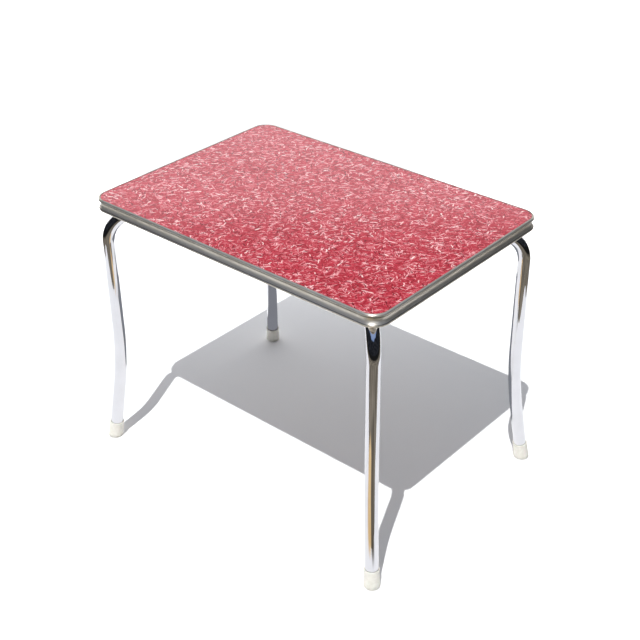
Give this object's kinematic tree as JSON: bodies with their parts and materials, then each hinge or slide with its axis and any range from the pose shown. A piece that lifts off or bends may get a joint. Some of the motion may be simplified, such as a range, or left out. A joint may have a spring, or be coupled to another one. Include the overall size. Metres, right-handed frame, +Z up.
{
  "type": "laminate top table",
  "caption": "Low rectangular table: laminate top with rounded corners and a beaded metal edge band, on bent chrome tube legs that splay at the foot into rubber caps.",
  "frame": {"origin": "on the floor, under the middle of the top", "axes": "+Z up, out of the table top; +X along the long side; +Y along the short side, away from the viewer"},
  "size_m": [0.7508, 0.5388, 0.5743],
  "materials": {
    "red_laminate": "gloss cracked-ice decorative laminate, red with pale pearly flakes",
    "plywood": "sanded plywood",
    "backer": "matt dark brown phenolic backing sheet",
    "band_metal": "satin, drawn along its length, dulled by age",
    "chrome_tube": "bright chrome plate",
    "cap_rubber": "off-white rubber, satin",
    "zinc_steel": "zinc plated",
    "plate_steel": "rolled sheet steel, lightly oiled",
    "plug_plastic": "black moulded"
  },
  "bodies": {
    "root": {"laminate_sheet": "red_laminate", "core_board": "plywood", "backer_sheet": "backer", "edge_band": "band_metal", "edge_band_screws": "zinc_steel", "leg_front_left": "chrome_tube", "foot_cap_front_left": "cap_rubber", "foot_disc_front_left": "zinc_steel", "end_plug_front_left": "plug_plastic", "corner_plate_front_left": "plate_steel", "leg_bolts_front_left": "zinc_steel", "saddle_washers_front_left": "zinc_steel", "tee_nuts_front_left": "zinc_steel", "plate_screws_front_left": "zinc_steel", "leg_front_right": "chrome_tube", "foot_cap_front_right": "cap_rubber", "foot_disc_front_right": "zinc_steel", "end_plug_front_right": "plug_plastic", "corner_plate_front_right": "plate_steel", "leg_bolts_front_right": "zinc_steel", "saddle_washers_front_right": "zinc_steel", "tee_nuts_front_right": "zinc_steel", "plate_screws_front_right": "zinc_steel", "leg_back_right": "chrome_tube", "foot_cap_back_right": "cap_rubber", "foot_disc_back_right": "zinc_steel", "end_plug_back_right": "plug_plastic", "corner_plate_back_right": "plate_steel", "leg_bolts_back_right": "zinc_steel", "saddle_washers_back_right": "zinc_steel", "tee_nuts_back_right": "zinc_steel", "plate_screws_back_right": "zinc_steel", "leg_back_left": "chrome_tube", "foot_cap_back_left": "cap_rubber", "foot_disc_back_left": "zinc_steel", "end_plug_back_left": "plug_plastic", "corner_plate_back_left": "plate_steel", "leg_bolts_back_left": "zinc_steel", "saddle_washers_back_left": "zinc_steel", "tee_nuts_back_left": "zinc_steel", "plate_screws_back_left": "zinc_steel"}
  },
  "joints": []
}
